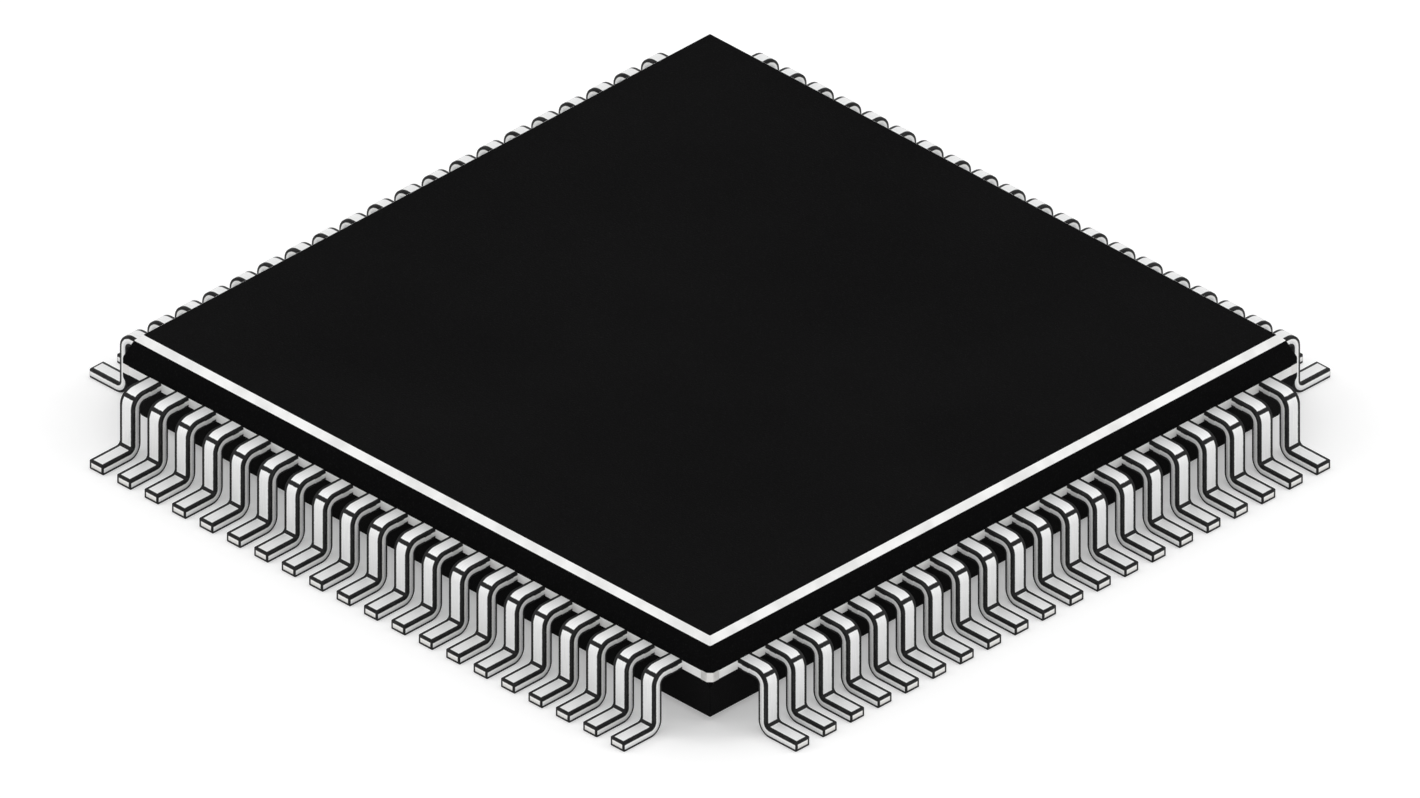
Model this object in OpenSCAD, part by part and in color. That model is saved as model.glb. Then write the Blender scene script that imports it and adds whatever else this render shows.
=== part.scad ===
// Quad flat pack chip: a moulded body with a row of gull-wing leads on each of its four sides,
// and inside it the silicon die on its pad, the four tie bars and the bond wires.
// The origin is the middle of the seating plane, level with the soles of the feet, and +Z is up.
// Each side is drawn once, facing +X, with its leads counted anticlockwise as seen from above.

/* [Body] */
// Width of the moulded body, measured across its parting band
body_w = 14; // [14:0.2:20]
// Height of the moulding above the top of the leads
upper_h = 0.53; // [0.43:0.01:1]
// Height of the moulding below the underside of the leads
lower_h = 0.89; // [0.6:0.01:1.4]
// Draft of the sides of the upper half, in degrees from upright
upper_draft = 22; // [5:1:24]
// Draft of the sides of the lower half, in degrees from upright
lower_draft = 16; // [5:1:20]
// Width of the bevel round the top face
top_bevel = 0.12; // [0.04:0.01:0.2]
// Width taken off each upright corner of the parting band
corner_cut = 0.08; // [0.02:0.01:0.2]
// Gap between the board and the underside of the body
standoff = 0.15; // [0.05:0.01:0.4]
// Diameter of the ejector marks in the underside
ejector_d = 1.6; // [0.8:0.1:2]
// Depth of the ejector marks
ejector_depth = 0.04; // [0.02:0.01:0.1]
// Distance of each ejector mark from the middle, along both X and Y
ejector_place = 4.4; // [3:0.1:5]

/* [Leads] */
// Number of leads on each side
leads_per_side = 20; // [10:1:20]
// Distance from one lead to the next, outside the body
lead_pitch = 0.65; // [0.5:0.01:0.65]
// Width of a lead
lead_w = 0.33; // [0.22:0.01:0.38]
// Thickness of the lead frame
lead_t = 0.18; // [0.12:0.01:0.2]
// How far the tip of a foot stands out from the body
lead_reach = 1.375; // [1.2:0.025:1.8]
// How far the upright leg of a lead stands out from the body, to its outer face
leg_reach = 0.66; // [0.55:0.01:0.8]
// Inside radius of both bends of a lead
bend_r = 0.08; // [0.06:0.01:0.15]
// Gap between the body and the stubs left where the dam bar was cut
dam_gap = 0.11; // [0.06:0.01:0.14]
// Length of a dam bar stub along the lead
dam_w = 0.15; // [0.1:0.01:0.2]
// How far a dam bar stub stands out from each edge of a lead
dam_stub = 0.01; // [0.005:0.005:0.05]

/* [Fingers inside the body] */
// Depth to which a lead runs straight into the body before it turns towards the die
lock_depth = 0.25; // [0.15:0.01:0.3]
// Distance of the finger tips from the middle of the chip
finger_reach = 4.4; // [4.2:0.1:5]
// Length of the straight landing at a finger's tip
finger_landing = 0.7; // [0.5:0.05:1]
// Width of a finger at its tip
finger_w = 0.2; // [0.12:0.01:0.24]
// Distance from one finger tip to the next
finger_pitch = 0.4; // [0.3:0.01:0.42]

/* [Die pad] */
// Width of the square pad under the die
pad_w = 7.2; // [6.6:0.1:7.6]
// How far the pad lies below the leads
pad_downset = 0.2; // [0.1:0.01:0.3]
// Width of the tie bars that run from the pad to the corners
tie_w = 0.3; // [0.15:0.01:0.34]
// Distance from the pad's corner to the step in each tie bar
tie_step = 0.35; // [0.2:0.05:0.8]

/* [Die and wires] */
// Width of the square die
die_w = 6; // [5:0.1:6.4]
// Thickness of the die
die_t = 0.28; // [0.2:0.01:0.32]
// Thickness of the adhesive under the die
attach_t = 0.025; // [0.015:0.005:0.05]
// How far the adhesive squeezes out past each edge of the die
attach_margin = 0.08; // [0.02:0.01:0.15]
// Distance of the bond pads from the edge of the die
pad_inset = 0.1; // [0.08:0.01:0.2]
// Distance of the first and last bond pads of a side from the corners of the die
pad_corner = 0.435; // [0.2:0.005:0.6]
// Diameter of the bond wires
wire_d = 0.025; // [0.02:0.001:0.03]
// Height of a wire's loop above the die
loop_h = 0.2; // [0.15:0.01:0.24]
// Radius of the turn at the top of a wire's loop
loop_r = 0.08; // [0.05:0.01:0.1]
// Diameter of the ball bond at the foot of a wire
ball_d = 0.07; // [0.05:0.01:0.08]
// Height of the ball bond
ball_h = 0.02; // [0.01:0.005:0.03]
// Distance of the stitch bond from a finger's tip
stitch_inset = 0.2; // [0.15:0.01:0.3]

/* [Hidden] */
// Segments of a full circle
$fn = 48;
// How far a cutting solid runs on past what it cuts
overrun = 1;

// The four sides as their names and the turn that brings each from +X, from pin 1 onwards
side_names = ["west", "south", "east", "north"];
side_turns = [180, 270, 0, 90];
// Each side's leads and wires are shared out over this many nodes
groups = 5;

// Levels, from the board upwards
frame_bottom = standoff + lower_h;
frame_top = frame_bottom + lead_t;
body_top = frame_top + upper_h;
pad_top = frame_top - pad_downset;
die_bottom = pad_top + attach_t;
die_top = die_bottom + die_t;

// Distances from the middle of the chip outwards
wall = body_w / 2;
underside_wall = wall - lower_h * tan(lower_draft);
shoulder_wall = wall - (upper_h - top_bevel) * tan(upper_draft);
leg_face = wall + leg_reach;
foot_tip = wall + lead_reach;
lock_end = wall - lock_depth;
landing_end = finger_reach + finger_landing;
stitch_at = finger_reach + stitch_inset;
pad_row = die_w / 2 - pad_inset;
pad_pitch = (die_w - 2 * pad_corner) / (leads_per_side - 1);

// The first and the last lead of a group, so that any number of leads is shared out whole
function first_lead(group) = floor(group * leads_per_side / groups);
function last_lead(group) = first_lead(group + 1) - 1;
// Place of a lead along its side, counted in pitches from the middle of the side
function place(lead) = lead - (leads_per_side - 1) / 2;

// Lays a drawing in X and Z, and gives it a thickness along Y
module upright(thickness) {
    rotate([90, 0, 0])
        linear_extrude(thickness, center = true)
            children();
}

// Quarter of a flat ring: 1 is up and outwards, then anticlockwise
module quarter_ring(inner_r, outer_r, quarter) {
    intersection() {
        difference() {
            circle(outer_r);
            circle(inner_r);
        }
        rotate((quarter - 1) * 90)
            square(outer_r + overrun);
    }
}

// The moulded outline, the same seen from the front and from the side
module body_section() {
    polygon([
        [-underside_wall, standoff],
        [underside_wall, standoff],
        [wall, frame_bottom],
        [wall, frame_top],
        [shoulder_wall, body_top - top_bevel],
        [shoulder_wall - top_bevel, body_top],
        [top_bevel - shoulder_wall, body_top],
        [-shoulder_wall, body_top - top_bevel],
        [-wall, frame_top],
        [-wall, frame_bottom]
    ]);
}

// The body seen from above: a square with a small cut across each corner
module body_outline() {
    cut = wall - corner_cut;
    polygon([
        [wall, -cut], [wall, cut], [cut, wall], [-cut, wall],
        [-wall, cut], [-wall, -cut], [-cut, -wall], [cut, -wall]
    ]);
}

// The drafted form is what the front and side outlines share
module moulded_form() {
    intersection() {
        upright(body_w + overrun) body_section();
        rotate(90) upright(body_w + overrun) body_section();
        linear_extrude(body_top + overrun) body_outline();
    }
}

module ejector_marks() {
    for (x = [-ejector_place, ejector_place], y = [-ejector_place, ejector_place])
        translate([x, y, standoff - overrun])
            cylinder(d = ejector_d, h = overrun + ejector_depth);
}

// A lead as it is stamped, before it is bent: the foot end first, then the finger
module lead_outline(lead) {
    outside = place(lead) * lead_pitch;
    inside = place(lead) * finger_pitch;
    near = wall + dam_gap;
    far = near + dam_w;
    edge = lead_w / 2;
    stub = edge + dam_stub;
    tip = finger_w / 2;
    polygon([
        [foot_tip + overrun, outside - edge],
        [foot_tip + overrun, outside + edge],
        [far, outside + edge],
        [far, outside + stub],
        [near, outside + stub],
        [near, outside + edge],
        [lock_end, outside + edge],
        [landing_end, inside + tip],
        [finger_reach, inside + tip],
        [finger_reach, inside - tip],
        [landing_end, inside - tip],
        [lock_end, outside - edge],
        [near, outside - edge],
        [near, outside - stub],
        [far, outside - stub],
        [far, outside - edge]
    ]);
}

// A lead seen along its side: finger and shoulder, first bend, leg, second bend and foot
module lead_section() {
    outer_r = bend_r + lead_t;
    shoulder_end = leg_face - outer_r;
    leg_top = frame_top - outer_r;
    foot_start = leg_face + bend_r;
    translate([finger_reach - overrun, frame_bottom])
        square([shoulder_end - finger_reach + overrun, lead_t]);
    translate([shoulder_end, leg_top])
        quarter_ring(bend_r, outer_r, 1);
    translate([leg_face - lead_t, outer_r])
        square([lead_t, leg_top - outer_r]);
    translate([foot_start, outer_r])
        quarter_ring(bend_r, outer_r, 3);
    translate([foot_start, 0])
        square([foot_tip - foot_start, lead_t]);
}

// A bent lead is what its stamped outline and its side section share
module lead(lead) {
    intersection() {
        upright(body_w + overrun) lead_section();
        translate([0, 0, -overrun])
            linear_extrude(body_top + 2 * overrun) lead_outline(lead);
    }
}

module lead_group(side, group) {
    color("gainsboro")
        rotate(side_turns[side])
            for (each_lead = [first_lead(group):last_lead(group)])
                lead(each_lead);
}

// The shape of a tie bar along its length: level with the pad, a step up, then level with the leads
module tie_bar_section() {
    pad_tip = pad_w / 2 * sqrt(2);
    step = pad_tip + tie_step;
    polygon([
        [pad_tip - tie_w, pad_top - lead_t],
        [step, pad_top - lead_t],
        [step + pad_downset, frame_bottom],
        [body_w, frame_bottom],
        [body_w, frame_top],
        [step + pad_downset, frame_top],
        [step, pad_top],
        [pad_tip - tie_w, pad_top]
    ]);
}

// The pad and its four tie bars, which end flush with the corners of the body
module die_pad() {
    color("silver") {
        translate([-pad_w / 2, -pad_w / 2, pad_top - lead_t])
            cube([pad_w, pad_w, lead_t]);
        for (corner = [45:90:315])
            intersection() {
                rotate(corner) upright(tie_w) tie_bar_section();
                linear_extrude(body_top) body_outline();
            }
    }
}

module die_attach() {
    width = die_w + 2 * attach_margin;
    color("darkgray")
        translate([-width / 2, -width / 2, pad_top])
            cube([width, width, attach_t]);
}

module die() {
    color("slategray")
        translate([-die_w / 2, -die_w / 2, die_bottom])
            cube([die_w, die_w, die_t]);
}

// A wire drawn along +X from its ball: up the neck, round the turn and straight down to the
// finger, where the level of the finger's top cuts it to the wedge of a stitch bond
module wire(span) {
    turn_z = die_top + loop_h - loop_r;
    drop = turn_z - frame_top;
    run = span - loop_r;
    // Rounded to a thousandth of a degree, so that the turn and the straight meet face to face
    fall = round(1000 * (atan2(drop, run) + asin(loop_r / norm([drop, run])))) / 1000;
    slope = sqrt(run * run + drop * drop - loop_r * loop_r) + wire_d / sin(fall);
    difference() {
        union() {
            translate([0, 0, die_top])
                cylinder(d = ball_d, h = ball_h);
            translate([0, 0, die_top])
                cylinder(d = wire_d, h = turn_z - die_top);
            translate([loop_r, 0, turn_z])
                rotate([90, 0, 0])
                    rotate([0, 0, 90 - fall])
                        rotate_extrude(angle = 90 + fall)
                            translate([loop_r, 0])
                                circle(d = wire_d);
            translate([loop_r, 0, turn_z])
                rotate([0, 90 + fall, 0])
                    translate([-loop_r, 0, 0])
                        cylinder(d = wire_d, h = slope);
        }
        translate([0, -overrun, frame_top - overrun])
            cube([span + overrun, 2 * overrun, overrun]);
    }
}

// A wire from its bond pad on the die to the landing of its finger
module bond_wire(lead) {
    from = [pad_row, place(lead) * pad_pitch];
    to = [stitch_at, place(lead) * finger_pitch];
    way = to - from;
    translate([from.x, from.y, 0])
        rotate(atan2(way.y, way.x))
            wire(norm(way));
}

module wire_group(side, group) {
    color("gold")
        rotate(side_turns[side])
            for (each_lead = [first_lead(group):last_lead(group)])
                bond_wire(each_lead);
}

// The moulding closes round everything inside it without a gap
module body() {
    color("#1a1a1a")
        difference() {
            moulded_form();
            ejector_marks();
            die_pad();
            die_attach();
            die();
            for (side = [0:3], group = [0:groups - 1]) {
                lead_group(side, group);
                wire_group(side, group);
            }
        }
}

body();
die_pad();
die_attach();
die();
for (side = [0:3], group = [0:groups - 1]) {
    lead_group(side, group);
    wire_group(side, group);
}
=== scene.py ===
# %% [markdown]
# # A quad flat pack chip
#
# The object is a small square chip: a flat black moulding, 14 mm wide, with a row of 20 bright bent
# leads on each of its four sides. The CAD model already holds every piece at its real size. This script
# gives the outside pieces their soft edges and finishes, and lights them like the line drawing that the
# chip is made from: pure black moulding, a white bevel that is a painted highlight, white leads with
# dark outlines of painted shade, white ground.
#
# Everything is in metres, in the frame of the CAD model: the origin is the middle of the seating plane
# and +Z is up.

# %% Load the frame
import math

import bmesh
import bpy
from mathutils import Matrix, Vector


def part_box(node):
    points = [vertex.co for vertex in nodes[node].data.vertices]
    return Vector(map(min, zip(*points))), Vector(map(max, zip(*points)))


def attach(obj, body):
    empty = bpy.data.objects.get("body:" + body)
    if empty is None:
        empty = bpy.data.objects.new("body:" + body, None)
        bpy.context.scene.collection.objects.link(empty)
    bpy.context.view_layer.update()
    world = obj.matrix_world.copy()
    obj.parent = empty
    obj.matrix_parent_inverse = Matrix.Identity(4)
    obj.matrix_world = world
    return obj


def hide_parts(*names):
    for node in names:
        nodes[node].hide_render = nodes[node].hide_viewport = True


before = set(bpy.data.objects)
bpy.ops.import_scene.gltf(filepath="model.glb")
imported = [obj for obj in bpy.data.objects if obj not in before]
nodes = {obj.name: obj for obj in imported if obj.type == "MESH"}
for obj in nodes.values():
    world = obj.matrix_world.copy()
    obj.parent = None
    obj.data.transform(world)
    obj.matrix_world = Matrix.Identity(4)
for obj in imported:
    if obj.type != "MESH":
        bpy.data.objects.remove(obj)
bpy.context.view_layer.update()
MM = 0.001


def in_mm(length):
    """A length in millimetres, rounded for printing."""
    return round(length / MM, 3)


# %% [markdown]
# ## Sizes
#
# A chip is made to a handful of sizes. The overall ones are read from the frame: the body's width, top
# and underside, the tips of the feet, and the top of the leads, which is the level of the whole lead
# frame. They could be typed in again here, but would then disagree with the CAD model after a change of
# it. The rest are the sizes that the drawing gives in its own proportions, or that chips of this kind
# share.

# %% Sizes of the moulding
body_low, body_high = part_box("body")
lead_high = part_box("leads_east_1")[1]
wall = body_high.x
body_top = body_high.z
standoff = body_low.z
foot_tip = lead_high.x
frame_top = lead_high.z
lead_t = 0.18 * MM
frame_bottom = frame_top - lead_t

upper_draft = math.tan(math.radians(22))
lower_draft = math.tan(math.radians(16))
top_bevel = 0.12 * MM
shoulder_top = body_top - top_bevel
shoulder_wall = wall - (shoulder_top - frame_top) * upper_draft
underside_wall = wall - (frame_bottom - standoff) * lower_draft
print("body", in_mm(2 * wall), "mm wide, from", in_mm(standoff), "to", in_mm(body_top), "mm")
print("lead frame from", in_mm(frame_bottom), "to", in_mm(frame_top), "mm")

# %% [markdown]
# ## The moulded body
#
# The body is one piece of black epoxy, moulded between two steel halves that meet along the lead frame.
# That leaves an upright parting band as thick as the leads, drafted sides above and below it so that the
# moulding lets go, and a bevel round the top. The same order builds it here: the band first, then each
# half drawn out of it and narrowed. Cutting the slopes and bevels off a tall block would need twelve cuts
# where three extrusions do.


# %% The body: the parting band
def add_block(name, low, high):
    """A box between two corners, alone selected, ready to be shaped."""
    bpy.ops.object.select_all(action="DESELECT")
    low, high = Vector(low), Vector(high)
    bpy.ops.mesh.primitive_cube_add(size=1, location=(low + high) / 2, scale=high - low)
    bpy.ops.object.transform_apply(location=True, rotation=True, scale=True)
    block = bpy.context.object
    block.name = name
    return block


body = add_block("moulded_body", (-wall, -wall, frame_bottom), (wall, wall, frame_top))
print("the band is", in_mm(2 * wall), "mm square and", in_mm(frame_top - frame_bottom), "mm thick")

# %% [markdown]
# The halves are drawn out in edit mode, where an operator acts on all that is selected. So everything is
# deselected first, and a face is then chosen by where it lies and which way it looks. Its number in the
# mesh would find it too, but would be another one after the next change of the shape. A face looks
# squarely along an axis when that part of its normal is over 0.99.

# %% The body: choosing its top face
SQUARELY = 0.99


def only(piece):
    """Leaves this piece alone selected, and active."""
    bpy.ops.object.select_all(action="DESELECT")
    piece.select_set(True)
    bpy.context.view_layer.objects.active = piece


def editing(piece):
    """Leaves only this piece selected, in edit mode."""
    only(piece)
    bpy.ops.object.mode_set(mode="EDIT")


def choose_faces(piece, test):
    """Selects, in edit mode, the faces whose middle and normal pass the test."""
    bpy.ops.mesh.select_mode(type="FACE")
    bpy.ops.mesh.select_all(action="DESELECT")
    form = bmesh.from_edit_mesh(piece.data)
    chosen = 0
    for face in form.faces:
        if test(face.calc_center_median(), face.normal):
            face.select_set(True)
            chosen += 1
    bmesh.update_edit_mesh(piece.data)
    return chosen


editing(body)
top_faces = choose_faces(body, lambda middle, normal: normal.z > SQUARELY)
print(top_faces, "face of the band looks up")

# %% [markdown]
# The upper half of the mould gives the body two slopes: the drafted side, and the bevel, which leans in
# further. So that face is drawn up and narrowed twice. The lower half is one length, drawn down from the
# other face. A modifier could taper a whole block, but not by a different slope at each height.


# %% The body: upper half and lower half
def extrude(x=0, y=0, z=0):
    """Draws the chosen faces out by a distance."""
    bpy.ops.mesh.extrude_region_move(TRANSFORM_OT_translate={"value": (x, y, z)})


def resize(x, y, z, about=(0, 0, 0)):
    """Makes the chosen faces larger or smaller about a point."""
    bpy.ops.transform.resize(value=(x, y, z), center_override=about)


def done_editing():
    """Goes back to object mode, which also writes the changes into the mesh."""
    bpy.ops.object.mode_set(mode="OBJECT")


extrude(z=shoulder_top - frame_top)
resize(shoulder_wall / wall, shoulder_wall / wall, 1)
extrude(z=top_bevel)
bevel_share = (shoulder_wall - top_bevel) / shoulder_wall
resize(bevel_share, bevel_share, 1)
choose_faces(body, lambda middle, normal: normal.z < -SQUARELY)
extrude(z=standoff - frame_bottom)
resize(underside_wall / wall, underside_wall / wall, 1)
done_editing()
print("body drawn with", len(body.data.polygons), "faces")

# %% [markdown]
# The mould's corners are cut across by less than a tenth of a millimetre. Each cut is an upright plane,
# so it is widest at the band and runs out in the draft above and below, as on the CAD model. Bisect does
# that in one step a corner, and closes what it opens. Blender's own thresholds are made for objects of a
# metre, so bisect, like every test of places below, gets one that suits a part of a few millimetres.

# %% The body: corner cuts
TINY = 1e-7
corner_cut = 0.08 * MM
cut_place = wall - corner_cut / 2

editing(body)
for x, y in ((1, 1), (-1, 1), (-1, -1), (1, -1)):
    bpy.ops.mesh.select_all(action="SELECT")
    bpy.ops.mesh.bisect(
        plane_co=(x * cut_place, y * cut_place, 0),
        plane_no=(x, y, 0),
        use_fill=True,
        clear_outer=True,
        threshold=TINY,
    )
done_editing()
print("body has", len(body.data.polygons), "faces with its corners cut")

# %% [markdown]
# Four round ejector pins press the finished part out of the lower mould half and leave shallow marks in
# the underside. A boolean modifier takes them away with true edges; pushing the faces in by hand would
# first need their outlines in the mesh. The underside is quartered before that, so that each mark lies in
# a face of its own and the edges that tie it to the face's corners run straight out from its rim.

# %% The body: its underside in quarters
editing(body)
for across_body in ((1, 0, 0), (0, 1, 0)):
    choose_faces(body, lambda middle, normal: normal.z < -SQUARELY)
    bpy.ops.mesh.bisect(plane_co=(0, 0, 0), plane_no=across_body, threshold=TINY)
done_editing()
print("body has", len(body.data.polygons), "faces with its underside in quarters")

# %% The body: ejector marks
ejector_d = 1.6 * MM
ejector_depth = 0.04 * MM
ejector_place = 4.4 * MM
ejector_sides = 48


def apply_all(piece):
    """Applies every modifier, in order."""
    only(piece)
    for modifier in list(piece.modifiers):
        bpy.ops.object.modifier_apply(modifier=modifier.name)


def cut_away(piece, tool):
    """Takes the tool's form out of the piece and throws the tool away."""
    cut = piece.modifiers.new("cut", "BOOLEAN")
    cut.operation = "DIFFERENCE"
    cut.solver = "EXACT"
    cut.object = tool
    apply_all(piece)
    bpy.data.objects.remove(tool)


for x in (-ejector_place, ejector_place):
    for y in (-ejector_place, ejector_place):
        bpy.ops.object.select_all(action="DESELECT")
        bpy.ops.mesh.primitive_cylinder_add(
            vertices=ejector_sides, radius=ejector_d / 2, depth=2 * ejector_depth, location=(x, y, standoff)
        )
        cut_away(body, bpy.context.object)
print("body has", len(body.data.polygons), "faces with its marks")

# %% [markdown]
# No moulded edge is a knife edge. A bevel modifier rounds them all by about two hundredths of a
# millimetre, and its angle limit leaves the joins of flat faces alone, where choosing the edges by hand
# would take a test for each kind. Such a small round hardly shows as a shape, but it catches the light
# along every edge and is what makes the part look solid.

# %% The body: rounded edges
edge_r = 0.018 * MM
edge_segments = 3
sharp_from = math.radians(12)

rounding = body.modifiers.new("rounding", "BEVEL")
rounding.width = edge_r
rounding.segments = edge_segments
rounding.limit_method = "ANGLE"
rounding.angle_limit = sharp_from
apply_all(body)
print("body rounded by", in_mm(edge_r), "mm, with", len(body.data.polygons), "faces")

# %% [markdown]
# At the corners the band opens round the cut ends of the tie bars, which are metal and belong to the die
# pad's own node. The openings come last, because the epoxy closes on the bars with a sharp edge, and a
# bevel modifier is held back everywhere by the smallest edge that it meets. Where rounds meet at a corner
# their facets are slightly twisted, so these are split flat first, and the cut through them stays clean.

# %% The body: openings for the tie bars
tie_w = 0.3 * MM
tie_bar_depth = 0.5 * MM
clearance = 0.001 * MM
flat_enough = math.radians(0.05)
corner_reach = cut_place * math.sqrt(2)

editing(body)
bpy.ops.mesh.select_all(action="SELECT")
bpy.ops.mesh.vert_connect_nonplanar(angle_limit=flat_enough)
done_editing()
for turn in (45, 135, 225, 315):
    opening = add_block(
        "tie_bar_opening",
        (corner_reach - tie_bar_depth, -tie_w / 2 - clearance, frame_bottom - clearance),
        (corner_reach + tie_bar_depth, tie_w / 2 + clearance, frame_top + clearance),
    )
    opening.rotation_euler.z = math.radians(turn)
    cut_away(body, opening)
print("body has", len(body.data.polygons), "faces with its openings", in_mm(corner_reach), "mm out")

# %% [markdown]
# The rounds are a few narrow facets each, and should read as one curve. Smooth shading alone would also
# bend the light over the flat faces beside them. So each normal is weighted with the area of its faces,
# which keeps the large flats flat and leaves the change to the rounds, without one more face.

# %% The body: smooth rounds
body_smooth_angle = 35


def smooth(piece, angle):
    """Shades the rounds smoothly and keeps the flats flat."""
    only(piece)
    bpy.ops.object.shade_smooth_by_angle(angle=math.radians(angle))
    piece.modifiers.new("flat_faces", "WEIGHTED_NORMAL").keep_sharp = True
    apply_all(piece)


smooth(body, body_smooth_angle)
print("body finished with", len(body.data.polygons), "faces")

# %% [markdown]
# ## One lead, outside the body
#
# A gull-wing lead is a flat strip, stamped and bent twice: out of the body along the shoulder, down the
# leg, and out again along the foot. So it is drawn the way it runs, from the foot inwards: the flat foot
# is a block, its inner end is spun up through a quarter turn, drawn up the leg, spun back, and drawn in
# to the body. Spin makes both bends as true arcs, where a bevelled corner would only come near them.

# %% One lead: foot, two bends and leg
lead_w = 0.33 * MM
bend_r = 0.08 * MM
leg_reach = 0.66 * MM
bend_steps = 8
leg_face = wall + leg_reach
outer_r = bend_r + lead_t
foot_start = leg_face + bend_r
shoulder_end = leg_face - outer_r
leg_top = frame_top - outer_r
quarter = math.pi / 2

lead = add_block("lead", (foot_start, -lead_w / 2, 0), (foot_tip, lead_w / 2, lead_t))
editing(lead)
choose_faces(lead, lambda middle, normal: normal.x < -SQUARELY)
bpy.ops.mesh.spin(steps=bend_steps, angle=-quarter, center=(foot_start, 0, outer_r), axis=(0, 1, 0))
choose_faces(lead, lambda middle, normal: normal.z > SQUARELY and abs(middle.z - outer_r) < TINY)
extrude(z=leg_top - outer_r)
bpy.ops.mesh.spin(steps=bend_steps, angle=quarter, center=(shoulder_end, 0, leg_top), axis=(0, 1, 0))
print("one lead bent, with", len(bmesh.from_edit_mesh(lead.data).faces), "faces")

# %% [markdown]
# While it was moulded, a bar held the leads together just outside the body and kept the epoxy in. It is
# cut out afterwards, and leaves a low stub on each edge of every lead. The shoulder is therefore drawn in
# by three lengths, and the middle one is as long as a stub; cutting one long shoulder in two places would
# come to the same, with more steps. The last length runs a little way into the body, to where the leads
# begin to turn towards the die.

# %% One lead: the shoulder
dam_gap = 0.11 * MM
dam_length = 0.15 * MM
lock_depth = 0.25 * MM
dam_near = wall + dam_gap
dam_far = dam_near + dam_length
lock_end = wall - lock_depth


def choose_inner_end(piece, x):
    """Selects the face that closes the strip towards the die."""

    def at_end(middle, normal):
        return normal.x < -SQUARELY and middle.z > frame_bottom and abs(middle.x - x) < TINY

    choose_faces(piece, at_end)


reached = shoulder_end
for next_x in (dam_far, dam_near, lock_end):
    choose_inner_end(lead, reached)
    extrude(x=next_x - reached)
    reached = next_x
print("shoulder drawn in to", in_mm(reached), "mm from the middle")

# %% [markdown]
# A stamped edge is rounded by the punch on one side and by the plating on both. The rounds go on while
# the strip is still plain, with the bevel operator of edit mode: a bevel modifier at the end would be
# held back everywhere by the smallest edge it meets, which is the stub. The edges are chosen by how
# sharply they fold. The inner end stays sharp, because the finger is drawn out of it.

# %% One lead: rounded edges
stamped_r = 0.016 * MM
stamped_segments = 2
stamped_fold = 40


def choose_edges(piece, test):
    """Selects, in edit mode, the edges whose middle and fold, in degrees, pass the test."""
    bpy.ops.mesh.select_mode(type="EDGE")
    bpy.ops.mesh.select_all(action="DESELECT")
    form = bmesh.from_edit_mesh(piece.data)
    chosen = 0
    for edge in form.edges:
        middle = (edge.verts[0].co + edge.verts[1].co) / 2
        if test(middle, math.degrees(edge.calc_face_angle(0))):
            edge.select_set(True)
            chosen += 1
    bmesh.update_edit_mesh(piece.data)
    return chosen


rounded = choose_edges(lead, lambda middle, fold: fold > stamped_fold and middle.x > lock_end + TINY)
bpy.ops.mesh.bevel(offset=stamped_r, segments=stamped_segments, clamp_overlap=False)
print(rounded, "edges of the lead rounded by", in_mm(stamped_r), "mm")

# %% [markdown]
# The stubs are what the cutting tool leaves of the bar: a hundredth of a millimetre on each side. Blocks
# joined to the strip would have inner faces to clean away. Instead both sides of the middle length are
# extruded on the spot, and then moved apart by a resize across the strip.

# %% One lead: the stubs
dam_stub = 0.01 * MM


def beside_bar(middle, normal):
    """Whether a face is a side of the strip where the bar was cut."""
    return abs(normal.y) > SQUARELY and dam_near < middle.x < dam_far and middle.z > frame_bottom


stub_sides = choose_faces(lead, beside_bar)
extrude()
resize(1, (lead_w / 2 + dam_stub) / (lead_w / 2), 1)
done_editing()
print(stub_sides, "stub sides pushed out;", len(lead.data.polygons), "faces")

# %% [markdown]
# ## The finishes of the leads
#
# The strip is a silvery nickel-iron alloy, and all of it that stands outside the body is plated with
# matt tin before it is bent. Four finishes show: the plating on the broad faces, the punched sides, a
# dark line of painted shade along the stamped edges, and the bare metal of the foot's tip, which is cut
# after plating. Each is a material slot of the lead.
#
# Matt tin is a skin of crystals a few thousandths of a millimetre across. It scatters light almost like
# paint, with a soft metallic sheen over it. A fully metallic shader would take its tone from the black
# body beside it, so this one is only partly metallic.

# %% The plating: its material
tin_color = (0.92, 0.92, 0.91)


def new_material(name, color, roughness, metallic=0.0, specular=0.5):
    """A material whose uniform values sit on the shader's own sockets."""
    made = bpy.data.materials.new(name)
    made.use_nodes = True
    shader = made.node_tree.nodes["Principled BSDF"]
    shader.inputs["Base Color"].default_value = (*color, 1)
    shader.inputs["Roughness"].default_value = roughness
    shader.inputs["Metallic"].default_value = metallic
    shader.inputs["Specular IOR Level"].default_value = specular
    return made, shader


plating, shader = new_material("matt_tin_plating", tin_color, 0.5, metallic=0.3, specular=0.2)
print(plating.name, "made, in the plain colour", tin_color)

# %% [markdown]
# The grain has to follow the strip round its bends. A pattern on object coordinates would run straight
# through them, so each lead gets a UV map named strip, in millimetres: U is the distance along the strip
# from the tip of the foot, and V is the place across it, or, on the sides, the depth in it. V also holds
# the number of the lead before the decimal point, so that no two leads of a side are alike; what is left
# after it is the place across the strip, with its width added to keep it above nought. The map itself is
# made further down, once the leads have their places.


# %% The plating: reading the map
def add_node(material, kind, **settings):
    """A shader node with its settings; names of sockets are given with spaces as underscores."""
    node = material.node_tree.nodes.new(kind)
    for name, value in settings.items():
        if hasattr(node, name):
            setattr(node, name, value)
        else:
            node.inputs[name.replace("_", " ")].default_value = value
    return node


def join(material, source, target):
    """Links an output of one node to an input of another."""
    material.node_tree.links.new(source, target)


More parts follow.
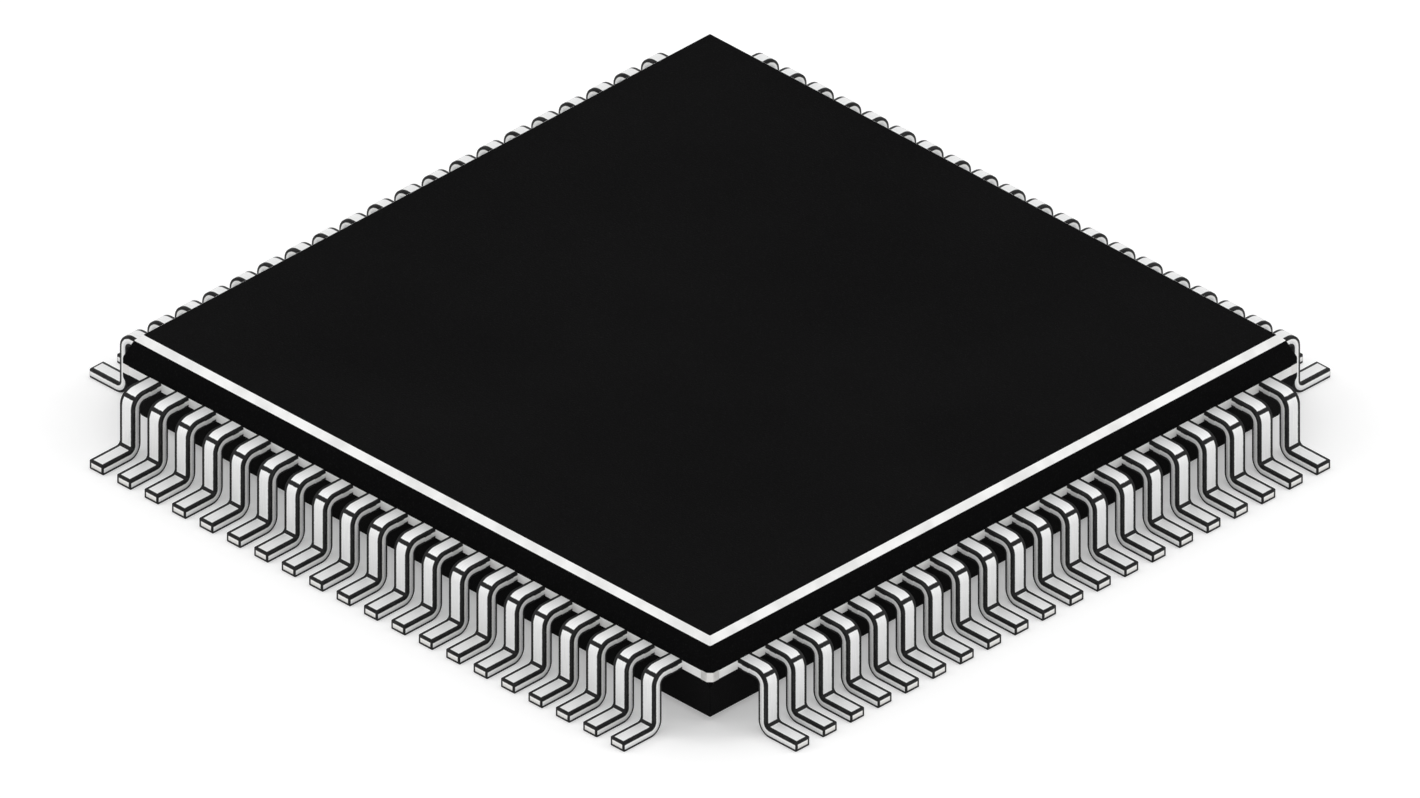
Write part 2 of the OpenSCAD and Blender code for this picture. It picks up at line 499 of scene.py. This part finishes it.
def strip_place(material, along=1.0, across=1.0):
    """The place on the strip, in millimetres, with each of its directions scaled."""
    mapping = add_node(material, "ShaderNodeMapping")
    mapping.inputs["Scale"].default_value = (along, across, 1)
    strip_map = add_node(material, "ShaderNodeUVMap", uv_map="strip")
    join(material, strip_map.outputs["UV"], mapping.inputs["Vector"])
    return mapping.outputs["Vector"]


print("a new material starts with", [node.name for node in plating.node_tree.nodes])

# %% [markdown]
# The borders of a face need two plain numbers: how far along the strip a point is, and how far across.
# The map gives them as one vector with the lead's number on top, so it is taken apart, and only what
# stands after the decimal point of V is kept. Math nodes do such reckoning for each point of a surface.


# %% The plating: where a point lies on the strip
def combine(material, operation, *values):
    """A sum, product or other reckoning of values that vary over the surface, or are plain numbers."""
    made = add_node(material, "ShaderNodeMath", operation=operation)
    for socket, value in zip(made.inputs, values):
        if isinstance(value, bpy.types.NodeSocket):
            join(material, value, socket)
        else:
            socket.default_value = value
    return made.outputs["Value"]


def strip_axes(material):
    """The distance along the strip, and what V holds after the decimal point, both in millimetres."""
    axes = add_node(material, "ShaderNodeSeparateXYZ")
    join(material, strip_place(material), axes.inputs["Vector"])
    return axes.outputs["X"], combine(material, "FRACT", axes.outputs["Y"])


along, across = strip_axes(plating)
print("the plating has", len(plating.node_tree.nodes), "nodes and knows each point's place on the strip")

# %% [markdown]
# The drawing shows a lead as white faces inside black lines. The dark borders here are painted shade
# along the edges, where each face turns away from the light; the real plating is no darker there.
# Outlines added to a picture would be right from one side only, so the borders are part of the finish,
# a little ragged.

# %% The plating: dark borders along the edges
border_w = 0.042 * MM
raggedness = 0.012 * MM
soft_step = 0.008 * MM
ragged_per_mm = 22
noise_middle = 0.5


def noise(material, place, scale=1.0, detail=2.0, roughness=0.5):
    """Noise at a number of cells per unit of the place that is fed in."""
    made = add_node(material, "ShaderNodeTexNoise", Scale=scale, Detail=detail, Roughness=roughness)
    join(material, place, made.inputs["Vector"])
    return made.outputs["Fac"]


def spread(material, value, low, high, from_low=0.3, from_high=0.7):
    """Maps a value to a range of numbers; noise lies mostly between the two that are set here."""
    made = add_node(material, "ShaderNodeMapRange")
    made.inputs["From Min"].default_value = from_low
    made.inputs["From Max"].default_value = from_high
    made.inputs["To Min"].default_value = low
    made.inputs["To Max"].default_value = high
    join(material, value, made.inputs["Value"])
    return made.outputs["Result"]


def ragged(material, value):
    """A distance in millimetres, made uneven by a few thousandths."""
    unevenness = noise(material, strip_place(material, ragged_per_mm, ragged_per_mm))
    offset = combine(material, "SUBTRACT", unevenness, noise_middle)
    return combine(material, "MULTIPLY_ADD", offset, raggedness / MM, value)


def within(material, distance, reach):
    """1 inside a distance, 0 outside it, with a soft step at its end."""
    return spread(material, ragged(material, distance), 1, 0, (reach - soft_step) / MM, reach / MM)


def distance_from(material, value, place):
    """How far a value is from a fixed one, to either side."""
    return combine(material, "ABSOLUTE", combine(material, "SUBTRACT", value, place))


clear_half_width = lead_w / 2 - stamped_r - border_w
clear = within(plating, distance_from(plating, across, lead_w / MM), clear_half_width)
print("a broad face stays clear over", in_mm(2 * clear_half_width), "mm of", in_mm(lead_w))

# %% [markdown]
# Painted shade also darkens the end of the foot, and a line across the middle of each bend, like the
# shade in a crease. Faces cut in for these lines would spoil the smooth bends, so they are found as places
# along the strip, reckoned from its flat and bent lengths. The lower bend's line is wider, because it
# shows on the hollow side of the bend.

# %% The plating: dark lines across the strip
end_border = 0.03 * MM
upper_line_w = 0.06 * MM
lower_line_w = 0.15 * MM


def outside(material, inside):
    """1 where a value is 0, and 0 where it is 1."""
    return combine(material, "SUBTRACT", 1.0, inside)


bend_length = quarter * (bend_r + lead_t / 2)
foot_length = foot_tip - foot_start
leg_end = foot_length + bend_length + leg_top - outer_r
lower_bend = foot_length + bend_length / 2
upper_bend = leg_end + bend_length / 2

in_lower_bend = within(plating, distance_from(plating, along, lower_bend / MM), lower_line_w / 2)
in_upper_bend = within(plating, distance_from(plating, along, upper_bend / MM), upper_line_w / 2)
bend_lines = combine(plating, "MAXIMUM", in_lower_bend, in_upper_bend)
cross_lines = combine(plating, "MAXIMUM", bend_lines, within(plating, along, stamped_r + end_border))
# Where this is 1 the plating takes the dark colour of painted shade, the lead's outlines.
painted_outlines = combine(plating, "MAXIMUM", outside(plating, clear), cross_lines)
print("dark lines at", in_mm(lower_bend), "and", in_mm(upper_bend), "mm along the strip")

# %% [markdown]
# Between the borders the tin is not one even tone. It has a fine grain with no direction, and long faint
# wipe marks along the strip, left by the forming tool. Two noises give them, the second one stretched
# along the strip; a photograph of tin would bring its own light and shadows with it.

# %% The plating: grain and wipe marks
tin_shade = (0.82, 0.825, 0.83)
# The dark colour below is painted shade, for the outlines along the edges and across the bends.
outline_shade_color = (0.008, 0.008, 0.0083)
grain_per_mm = 60
wipes_along = 2.5
wipes_across = 55


def blend_colors(material, factor, first, second, start=0.0, stop=1.0):
    """The first colour up to one value of the factor, the second from another, and blends between."""
    made = add_node(material, "ShaderNodeValToRGB")
    low, high = made.color_ramp.elements
    low.position = start
    low.color = (*first, 1)
    high.position = stop
    high.color = (*second, 1)
    join(material, factor, made.inputs["Fac"])
    return made.outputs["Color"]


def paint_over(material, under, factor, color):
    """A colour that varies, with a plain one laid over it as far as the factor says."""
    made = add_node(material, "ShaderNodeMix", data_type="RGBA")
    sockets = {socket.identifier: socket for socket in made.inputs}
    sockets["B_Color"].default_value = (*color, 1)
    join(material, under, sockets["A_Color"])
    join(material, factor, sockets["Factor_Float"])
    return next(socket for socket in made.outputs if socket.identifier == "Result_Color")


grain = noise(plating, strip_place(plating, grain_per_mm, grain_per_mm), detail=3.0)
wipes = noise(plating, strip_place(plating, wipes_along, wipes_across))
relief = combine(plating, "MULTIPLY", grain, wipes)
grained = blend_colors(plating, relief, tin_shade, tin_color, start=0.12, stop=0.4)
join(plating, paint_over(plating, grained, painted_outlines, outline_shade_color), shader.inputs["Base Color"])
print("grain of", in_mm(MM / grain_per_mm), "mm, and wipe marks", in_mm(MM / wipes_across), "mm wide")

# %% [markdown]
# The same patterns go into the gloss and the relief, because a finish that is uneven in colour alone
# looks printed. Where the tool wiped the tin it is smoother, and each crystal stands up a little. Relief
# so low is a bump: it turns the light at each point and needs no faces.

# %% The plating: gloss and relief
tin_rough = 0.58
tin_wiped = 0.44
grain_depth = 0.003 * MM


def vary_roughness(material, shader, pattern, low, high, from_low=0.3, from_high=0.7):
    """Spreads the shader's roughness over a range by a pattern."""
    join(material, spread(material, pattern, low, high, from_low, from_high), shader.inputs["Roughness"])


def add_bump(material, shader, height, depth, strength=1.0):
    """Bends the shader's normals over a relief whose full height is depth, in metres."""
    made = add_node(material, "ShaderNodeBump", Strength=strength, Distance=depth)
    join(material, height, made.inputs["Height"])
    join(material, made.outputs["Normal"], shader.inputs["Normal"])


vary_roughness(plating, shader, wipes, tin_rough, tin_wiped)
add_bump(plating, shader, relief, grain_depth, strength=0.6)
print("roughness from", tin_wiped, "to", tin_rough, "and a relief", in_mm(grain_depth), "mm high")

# %% [markdown]
# The rounds along the stamped edges are dark with painted shade, like the borders beside them; that is
# how the drawing shows a lead, as white faces inside dark lines, and the real plating is no darker there.
# The rounds are true faces, so they get a material of their own, which is sharper than a border painted
# on the faces beside them. A noise varies the dark a little.

# %% The stamped edges: their painted shade
outline_shade_light = (0.035, 0.035, 0.035)
mottle_per_mm = 9


def vary_color(material, shader, pattern, first, second, start=0.0, stop=1.0):
    """Blends the shader's base colour between two colours by a pattern."""
    blended = blend_colors(material, pattern, first, second, start, stop)
    join(material, blended, shader.inputs["Base Color"])


# The rounds take the dark colour of painted shade, with a little noise in it.
stamped_edge, shader = new_material("edge_painted_shade", outline_shade_color, 0.6, specular=0.12)
outline_mottle = noise(stamped_edge, strip_place(stamped_edge, mottle_per_mm, mottle_per_mm), detail=3.0)
vary_color(stamped_edge, shader, outline_mottle, outline_shade_color, outline_shade_light, start=0.45, stop=0.75)
print(stamped_edge.name, "goes from", outline_shade_color, "to", outline_shade_light)

# %% [markdown]
# The punch burnishes the upper part of a side and tears the rest, with fine score marks through the
# thickness. The plating covers both but doesn't hide the step between them. The depth in the strip could
# have a UV map of its own, but on the sides the place across it isn't needed, so V holds the depth there.

# %% The finish of the punched sides
side_bright = (0.91, 0.91, 0.9)
side_torn = (0.76, 0.765, 0.77)
side_border = 0.028 * MM
torn_share = 0.6
torn_wander = 0.05 * MM
step_width = 0.012 * MM
scores_along = 60
scores_in_depth = 5
side_burnished = 0.36
side_rough = 0.58
score_depth = 0.003 * MM

punched_side, shader = new_material("punched_side", side_bright, 0.42, metallic=0.25, specular=0.2)
depth = strip_axes(punched_side)[1]
score = noise(punched_side, strip_place(punched_side, scores_along, scores_in_depth))
torn_edge = combine(punched_side, "MULTIPLY_ADD", score, torn_wander / MM, depth)
torn_top = torn_share * lead_t
torn = spread(punched_side, torn_edge, 1, 0, torn_top / MM, (torn_top + step_width) / MM)
scored = combine(punched_side, "MULTIPLY", torn, score)
clear_half_depth = lead_t / 2 - stamped_r - side_border
clear = within(punched_side, distance_from(punched_side, depth, lead_t / 2 / MM), clear_half_depth)
sheared = blend_colors(punched_side, scored, side_bright, side_torn, start=0.1, stop=0.6)
# A border of painted shade runs round the side, the outline of the face.
bordered = paint_over(punched_side, sheared, outside(punched_side, clear), outline_shade_color)
join(punched_side, bordered, shader.inputs["Base Color"])
vary_roughness(punched_side, shader, torn, side_burnished, side_rough, from_low=0, from_high=1)
add_bump(punched_side, shader, scored, score_depth, strength=0.5)
print("sides torn up to", in_mm(torn_top), "mm and clear over", in_mm(2 * clear_half_depth), "mm")

# %% [markdown]
# The tip of a foot is sheared off after plating and shows bare metal, while the stubs of the bar are cut
# before it and are plated like the sides. A shear, too, burnishes the first part of its cut and tears the
# rest, so the lower half of a tip is duller and rougher than the upper. On a tip U is the place across
# the strip, from its middle, and V still holds the depth, so the dark border of painted shade goes all the
# way round. The torn metal's own grain has no direction, so object coordinates are enough for it.

# %% The finish of the cut tips
cut_bright = (0.9, 0.89, 0.87)
cut_torn = (0.76, 0.75, 0.73)
cut_torn_from = 0.35
cut_torn_to = 0.6
cut_burnished = 0.35
cut_rough = 0.6
tears_per_mm = 60
tear_depth = 0.004 * MM


def object_place(material):
    """The place on the object, in metres."""
    return add_node(material, "ShaderNodeTexCoord").outputs["Object"]


bare_cut, shader = new_material("bare_cut", cut_bright, 0.4, metallic=0.2, specular=0.2)
across, depth = strip_axes(bare_cut)
torn = spread(bare_cut, depth, 1, 0, cut_torn_from * lead_t / MM, cut_torn_to * lead_t / MM)
clear_half_tip = lead_w / 2 - stamped_r - side_border
clear_across = within(bare_cut, distance_from(bare_cut, across, 0.0), clear_half_tip)
clear_in_depth = within(bare_cut, distance_from(bare_cut, depth, lead_t / 2 / MM), clear_half_depth)
clear = combine(bare_cut, "MINIMUM", clear_across, clear_in_depth)
sheared = blend_colors(bare_cut, torn, cut_bright, cut_torn)
# A border of painted shade runs round the tip, the outline of the face.
bordered = paint_over(bare_cut, sheared, outside(bare_cut, clear), outline_shade_color)
join(bare_cut, bordered, shader.inputs["Base Color"])
vary_roughness(bare_cut, shader, torn, cut_burnished, cut_rough, from_low=0, from_high=1)
tears = noise(bare_cut, object_place(bare_cut), tears_per_mm / MM, detail=3.0)
add_bump(bare_cut, shader, tears, tear_depth, strength=0.5)

for finish in (plating, stamped_edge, punched_side, bare_cut):
    lead.data.materials.append(finish)
broad_slot, edge_slot, side_slot, tip_slot = range(len(lead.data.materials))
print("the finishes of a lead:", [m.name for m in lead.data.materials])

# %% [markdown]
# ## The 20 leads of one side
#
# Outside the body all leads are alike. Inside it they turn towards the die, so that 20 tips 0.4 mm apart
# face its edge, and each lead turns by its own amount. So each copy of the bent lead is moved to its
# place, and its inner end is drawn out to its own fingertip. Modelling the finger first and bending it
# to 20 places would have to find its faces again each time.

# %% The 20 leads: places and fingers
leads_per_side = 20
lead_pitch = 0.65 * MM
finger_pitch = 0.4 * MM
finger_w = 0.2 * MM
finger_reach = 4.4 * MM
landing_length = 0.7 * MM
landing_end = finger_reach + landing_length


def copy_piece(piece, name):
    """A copy with its own mesh."""
    made = piece.copy()
    made.data = piece.data.copy()
    made.name = name
    bpy.context.scene.collection.objects.link(made)
    return made


def pitches_from_middle(number):
    """How many pitches a lead of a side lies from the side's middle."""
    return number - (leads_per_side - 1) / 2


side_leads = []
for number in range(leads_per_side):
    outer_y = pitches_from_middle(number) * lead_pitch
    inner_y = pitches_from_middle(number) * finger_pitch
    made = copy_piece(lead, f"lead_{number + 1}")
    made.location.y = outer_y
    only(made)
    bpy.ops.object.transform_apply(location=True)
    editing(made)
    choose_inner_end(made, lock_end)
    extrude(x=landing_end - lock_end, y=inner_y - outer_y)
    resize(1, finger_w / lead_w, 1, about=(landing_end, inner_y, frame_top))
    extrude(x=finger_reach - landing_end)
    done_editing()
    side_leads.append(made)
bpy.data.objects.remove(lead)
print(len(side_leads), "leads; the first has", len(side_leads[0].data.polygons), "faces")

# %% [markdown]
# The map follows the strip as it was before it was bent. Unwrapping it with an operator would lay each
# bend out at its own scale. So a point of the side view is turned back into a distance along the strip
# and a depth in it, piece by piece: flat foot, first bend, leg, second bend and shoulder.


# %% The 20 leads: the strip before it was bent
def unbent(x, z):
    """How far along the strip a point of the side view lies, and how deep in it, from the sole upwards."""
    if x >= foot_start:
        return foot_tip - x, z
    if z < outer_r:
        inwards, down = foot_start - x, outer_r - z
        turned = math.atan2(inwards, down) / quarter
        return foot_length + bend_length * turned, outer_r - math.hypot(inwards, down)
    if z <= leg_top:
        return foot_length + bend_length + z - outer_r, x - leg_face + lead_t
    if x > shoulder_end:
        outwards, up = x - shoulder_end, z - leg_top
        turned = math.atan2(up, outwards) / quarter
        return leg_end + bend_length * turned, math.hypot(outwards, up) - bend_r
    return leg_end + bend_length + shoulder_end - x, z - frame_bottom


print("the strip is", in_mm(unbent(wall, frame_top)[0]), "mm long from its tip to the body")

# %% [markdown]
# Each face gets its finish by the way it looks: the broad faces never look sideways, the punched sides
# look only sideways, and the rounds between them do both. The cut tip and the stubs are found by their
# places, at the very end of the foot and beyond the strip's own width. The faces could be counted out
# instead, but their numbers change with every segment of a bend.

# %% The 20 leads: finishes and map
HARDLY = 0.01
lead_smooth_angle = 50


def slot_of(face, middle_y):
    """The finish that a face of a lead takes."""
    sideways = abs(face.normal.y)
    at_stub = dam_near - TINY < face.center.x < dam_far + TINY
    if face.center.x > foot_tip - TINY:
        return tip_slot
    if at_stub and abs(face.center.y - middle_y) > lead_w / 2 + TINY:
        return side_slot
    if face.center.x > foot_tip - stamped_r or HARDLY < sideways < SQUARELY:
        return edge_slot
    return side_slot if sideways >= SQUARELY else broad_slot


for number, made in enumerate(side_leads):
    shape = made.data
    middle_y = pitches_from_middle(number) * lead_pitch
    strip = shape.uv_layers.new(name="strip")
    for face in shape.polygons:
        face.material_index = slot_of(face, middle_y)
        is_tip = face.material_index == tip_slot
        shows_depth = is_tip or face.material_index == side_slot
        for corner in face.loop_indices:
            point = shape.vertices[shape.loops[corner].vertex_index].co
            run, depth_in = unbent(point.x, point.z)
            sideways = point.y - middle_y
            first = sideways if is_tip else run
            second = depth_in if shows_depth else sideways + lead_w
            strip.data[corner].uv = (first / MM, number + second / MM)
    smooth(made, lead_smooth_angle)
print("the first lead finished with", len(side_leads[0].data.polygons), "faces")

# %% [markdown]
# The CAD model keeps four leads in one node, so four leads are joined to each piece here. The other three
# sides are the same five pieces turned by a quarter, a half and three quarters, each with its own mesh.
# Linked copies would be lighter, but a turn that is applied has to be each mesh's own.

# %% The leads of all four sides
side_turns = {"east": 0, "north": 90, "west": 180, "south": 270}
leads_per_node = 4

lead_pieces = []
first_side = []
for group in range(leads_per_side // leads_per_node):
    members = side_leads[group * leads_per_node:(group + 1) * leads_per_node]
    bpy.ops.object.select_all(action="DESELECT")
    for member in members:
        member.select_set(True)
    bpy.context.view_layer.objects.active = members[0]
    bpy.ops.object.join()
    first_side.append(members[0])
for side, turn in side_turns.items():
    for group, source in enumerate(first_side, start=1):
        piece = source if side == "east" else copy_piece(source, "turned")
        piece.name = f"plated_leads_{side}_{group}"
        piece.rotation_euler.z = math.radians(turn)
        only(piece)
        bpy.ops.object.transform_apply(rotation=True)
        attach(piece, "root")
        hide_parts(f"leads_{side}_{group}")
        lead_pieces.append(piece)
print(len(lead_pieces), "pieces of four leads,", sum(len(p.data.polygons) for p in lead_pieces), "faces")

# %% [markdown]
# ## The finishes of the body
#
# The epoxy is filled with fine silica and coloured with carbon black. The mould is spark-eroded, which
# leaves an even matt grain of some hundredths of a millimetre on every face. Real relief that fine would
# take millions of faces, so it is a bump, and it breaks the shine up, so that the faces read as black
# from every side. A slow cloudiness in the roughness, a few millimetres across, is the track of the flow
# of the epoxy, and the flecks are grains of the filler.

# %% The finish of the moulded faces
black = (0.002, 0.002, 0.0021)
filler = (0.0085, 0.0085, 0.0088)
eroded_per_mm = 28
flecks_per_mm = 45
clouds_per_mm = 0.35
cloud_smooth = 0.58
cloud_rough = 0.67
eroded_depth = 0.006 * MM

mould_face, shader = new_material("matt_black_epoxy", black, 0.62, specular=0.02)
place = object_place(mould_face)
eroded = noise(mould_face, place, eroded_per_mm / MM, detail=3.0, roughness=0.6)
fleck_noise = noise(mould_face, place, flecks_per_mm / MM, detail=1.0)
flecks = spread(mould_face, fleck_noise, 0, 1, from_low=0.55, from_high=0.8)
clouds = noise(mould_face, place, clouds_per_mm / MM, detail=3.0)
vary_color(mould_face, shader, flecks, black, filler)
vary_roughness(mould_face, shader, clouds, cloud_smooth, cloud_rough)
add_bump(mould_face, shader, eroded, eroded_depth, strength=0.7)
print("mould grain of", in_mm(MM / eroded_per_mm), "mm, clouds of", in_mm(MM / clouds_per_mm), "mm")

# %% [markdown]
# The bevel round the top and the parting band are ground smooth in the mould, and the drawing leaves both
# white. On the real part both are the same black epoxy as the rest and only flash white where they catch
# a lamp. Gloss alone would show them white from one side only, so they get a pale, smooth skin that is a
# painted highlight and stays pale under any light. Only a trace of the grain is left.

# %% The painted highlight of the bevel and the parting band
# The pale colours below are a painted highlight; the real bevel and band are black epoxy.
painted_highlight_color = (0.9, 0.9, 0.89)
painted_highlight_dim = (0.8, 0.8, 0.79)
smears_per_mm = 2.2
smear_rough = 0.42
smear_smooth = 0.28
trace_per_mm = 30
trace_depth = 0.002 * MM

mould_edge, shader = new_material("painted_highlight_edge", painted_highlight_color, 0.3, specular=0.5)
place = object_place(mould_edge)
smear_noise = noise(mould_edge, place, smears_per_mm / MM, detail=4.0)
smears = spread(mould_edge, smear_noise, 0, 1, from_low=0.35, from_high=0.6)
vary_color(mould_edge, shader, smears, painted_highlight_dim, painted_highlight_color)
vary_roughness(mould_edge, shader, smears, smear_rough, smear_smooth, from_low=0, from_high=1)
add_bump(mould_edge, shader, noise(mould_edge, place, trace_per_mm / MM), trace_depth, strength=0.4)
print("smears of", in_mm(MM / smears_per_mm), "mm and a trace of grain of", in_mm(MM / trace_per_mm), "mm")

# %% [markdown]
# The painted highlight ends at sharp borders, so the two finishes are material slots of one piece and not a
# blend. The faces that carry it are found by their heights and slopes: those of the bevel above the
# shoulder, and the upright ones between the top and the underside of the lead frame. A slope here is the
# upward part of a face's normal, which is 0 on a wall and 1 on a flat top.

# %% The body's two finishes on their faces
bevel_slopes = (0.6, 0.85)
band_slope = 0.2
highlight_slot = 1


def on_bevel(middle, normal):
    """Whether a face is on the bevel, above the round that ends it."""
    return shoulder_top + edge_r / 4 < middle.z < body_top and bevel_slopes[0] < normal.z < bevel_slopes[1]


def on_band(middle, normal):
    """Whether a face is an upright one of the parting band."""
    return frame_bottom < middle.z < frame_top and abs(normal.z) < band_slope


body.data.materials.append(mould_face)
body.data.materials.append(mould_edge)
editing(body)
body.active_material_index = highlight_slot
bevel_faces = choose_faces(body, on_bevel)
bpy.ops.object.material_slot_assign()
band_faces = choose_faces(body, on_band)
bpy.ops.object.material_slot_assign()
done_editing()
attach(body, "root")
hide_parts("body")
print(bevel_faces, "faces on the bevel and", band_faces, "on the band")

# %% [markdown]
# ## The pieces inside
#
# The die, its adhesive, its pad and the bond wires keep their CAD nodes, because their shape is right and
# only the cut ends of the tie bars can be seen. Each still gets the finish of its real material. The pad
# is rolled from the same nickel-iron as the leads, without their tin: a darker metal with a faint, fine
# grain from the rolls.

# %% The finish of the die pad
pad_color = (0.72, 0.71, 0.69)
pad_dark = (0.66, 0.65, 0.63)
pad_light = (0.8, 0.79, 0.77)
rolled_per_mm = 18
rolled_smooth = 0.32
rolled_rough = 0.5

pad_metal, shader = new_material("rolled_nickel_iron", pad_color, 0.35, metallic=0.6)
rolled = noise(pad_metal, object_place(pad_metal), rolled_per_mm / MM, detail=3.0)
vary_color(pad_metal, shader, rolled, pad_dark, pad_light)
vary_roughness(pad_metal, shader, rolled, rolled_smooth, rolled_rough)
print(pad_metal.name, "with a grain of", in_mm(MM / rolled_per_mm), "mm")

# %% [markdown]
# The adhesive is an epoxy full of tiny silver flakes, and the die is a slice of polished silicon with its
# metal layers showing as a faint mottling. Each is a colour made uneven by one noise; flakes and layers
# that were modelled would make no difference inside a closed body.

# %% The finishes of the adhesive and the die
glue_color = (0.5, 0.5, 0.49)
flake_dark = (0.36, 0.36, 0.35)
flake_light = (0.66, 0.66, 0.64)
flakes_per_mm = 50
flake_depth = 0.004 * MM
die_color = (0.2, 0.22, 0.26)
layer_dark = (0.16, 0.18, 0.24)
layer_light = (0.27, 0.27, 0.3)
layers_per_mm = 6

silver_glue, shader = new_material("silver_filled_adhesive", glue_color, 0.55, metallic=0.4)
flakes = noise(silver_glue, object_place(silver_glue), flakes_per_mm / MM, detail=3.0)
vary_color(silver_glue, shader, flakes, flake_dark, flake_light)
add_bump(silver_glue, shader, flakes, flake_depth)

silicon, shader = new_material("polished_silicon", die_color, 0.12, metallic=0.7)
layers = noise(silicon, object_place(silicon), layers_per_mm / MM, detail=4.0)
vary_color(silicon, shader, layers, layer_dark, layer_light)
print(silver_glue.name, "with flakes of", in_mm(MM / flakes_per_mm), "mm, and", silicon.name)

# %% [markdown]
# The bond wires are gold, drawn through ever smaller holes, which leaves them bright with faint streaks.
# A streak along each wire would need a map that follows it; a fine noise in the roughness is enough for
# wires a fortieth of a millimetre thick. All the finishes are then given to the CAD nodes' own slots.

# %% The finish of the bond wires, and the nodes' slots
gold_color = (0.95, 0.71, 0.33)
streaks_per_mm = 80
gold_smooth = 0.18
gold_rough = 0.3

gold, shader = new_material("drawn_gold_wire", gold_color, 0.22, metallic=1.0)
streaks = noise(gold, object_place(gold), streaks_per_mm / MM)
vary_roughness(gold, shader, streaks, gold_smooth, gold_rough)

inner_finishes = {"die_pad": pad_metal, "die_attach": silver_glue, "die": silicon}
finished = 0
for name, node in nodes.items():
    finish = gold if name.startswith("wires_") else inner_finishes.get(name)
    if finish:
        node.data.materials.clear()
        node.data.materials.append(finish)
        finished += 1
print("finishes given to", finished, "CAD nodes")

# %% [markdown]
# ## The ground and the light
#
# The drawing has a pure white ground. A sheet of white paper under the same light would come out light
# grey, and more light would wash the chip out. So the floor is a pale matt sheet that is also made to
# glow a little for the camera and for reflections, just enough to reach white where it is fully lit. It
# still darkens where the chip keeps the light off it, so the chip stands on it.

# %% The ground
floor_half = 0.4
floor_lift = 0.3
sheet_color = (0.8, 0.8, 0.8, 1)
white = (1, 1, 1, 1)

bpy.ops.object.select_all(action="DESELECT")
bpy.ops.mesh.primitive_plane_add(size=2 * floor_half)
floor = bpy.context.object
floor.name = "ground"


def seen_directly(material):
    """1 for what the camera sees, directly, mirrored or through glass, and 0 for light on its way."""
    path = add_node(material, "ShaderNodeLightPath")
    straight = combine(material, "MAXIMUM", path.outputs["Is Camera Ray"], path.outputs["Is Glossy Ray"])
    return combine(material, "MAXIMUM", straight, path.outputs["Is Transmission Ray"])


ground = bpy.data.materials.new("white_ground")
ground.use_nodes = True
ground.node_tree.nodes.remove(ground.node_tree.nodes["Principled BSDF"])
sheet = add_node(ground, "ShaderNodeBsdfDiffuse", Color=sheet_color)
glow = add_node(ground, "ShaderNodeEmission", Color=white)
join(ground, combine(ground, "MULTIPLY", seen_directly(ground), floor_lift), glow.inputs["Strength"])
both = add_node(ground, "ShaderNodeAddShader")
join(ground, sheet.outputs[0], both.inputs[0])
join(ground, glow.outputs[0], both.inputs[1])
join(ground, both.outputs[0], ground.node_tree.nodes["Material Output"].inputs["Surface"])
floor.data.materials.append(ground)
print("ground", 2 * floor_half, "m square")

# %% [markdown]
# The world stands for a white room. It is white for the camera and for reflections, and lights the chip
# at about four fifths of that, so that the lamps still have something to add. Many lamps all round would
# do the same with a shadow each.

# %% The world
fill = 0.82
full = 1.0

world = bpy.data.worlds.new("white_surround")
bpy.context.scene.world = world
world.use_nodes = True
background = world.node_tree.nodes["Background"]
background.inputs["Color"].default_value = white
level = add_node(world, "ShaderNodeMapRange")
level.inputs["To Min"].default_value = fill
level.inputs["To Max"].default_value = full
join(world, seen_directly(world), level.inputs["Value"])
join(world, level.outputs["Result"], background.inputs["Strength"])
print("the world shows as", full, "and lights with", fill)

# %% [markdown]
# The rest of the light comes from two soft lamps. Each stands where the bevel of one front side mirrors
# it to the camera, so the bevel flashes as a white line, while the flat top mirrors neither and stays
# black. Their places could be tried out by eye; here the direction is worked out from the bevel's normal
# and the way to the camera, by the law of reflection.

# %% The lamps
azimuth = math.radians(45)
elevation = math.radians(32.07)
lamp_distance = 0.15
lamp_size = 0.06
lamp_power = 0.03
bevel_normals = {"left_lamp": Vector((0, -1, 1)), "right_lamp": Vector((1, 0, 1))}

to_camera = Vector(
    (math.sin(azimuth) * math.cos(elevation), -math.cos(azimuth) * math.cos(elevation), math.sin(elevation))
)
for name, normal in bevel_normals.items():
    normal.normalize()
    way = 2 * normal.dot(to_camera) * normal - to_camera
    lamp = bpy.data.lights.new(name, "AREA")
    lamp.size = lamp_size
    lamp.energy = lamp_power
    holder = bpy.data.objects.new(name, lamp)
    holder.location = way * lamp_distance
    holder.rotation_euler = (-way).to_track_quat("-Z", "Y").to_euler()
    bpy.context.scene.collection.objects.link(holder)
    print(name, "towards", [round(c, 3) for c in way])

# %% [markdown]
# ## The camera
#
# The drawing is in parallel projection, from 45 degrees round and 32 degrees up: its square top is a
# rhombus with a true mirror line down the middle. An orthographic camera repeats that exactly, where even
# a very long lens would shrink the far corner. The scale comes from the body's width in the picture.

# %% The camera
photo_w = 1420
photo_px_per_mm = 59.65
aim_height = 0.474 * MM
camera_distance = 0.3
nearest_seen = 0.01
farthest_seen = 2.0

shot = bpy.data.cameras.new("shot")
shot.type = "ORTHO"
shot.ortho_scale = photo_w / photo_px_per_mm * MM
shot.clip_start = nearest_seen
shot.clip_end = farthest_seen
camera = bpy.data.objects.new("camera", shot)
camera.location = Vector((0, 0, aim_height)) + to_camera * camera_distance
camera.rotation_euler = (-to_camera).to_track_quat("-Z", "Y").to_euler()
bpy.context.scene.collection.objects.link(camera)
bpy.context.scene.camera = camera
bpy.context.scene.view_settings.view_transform = "Standard"
print("the frame is", in_mm(shot.ortho_scale), "mm wide")
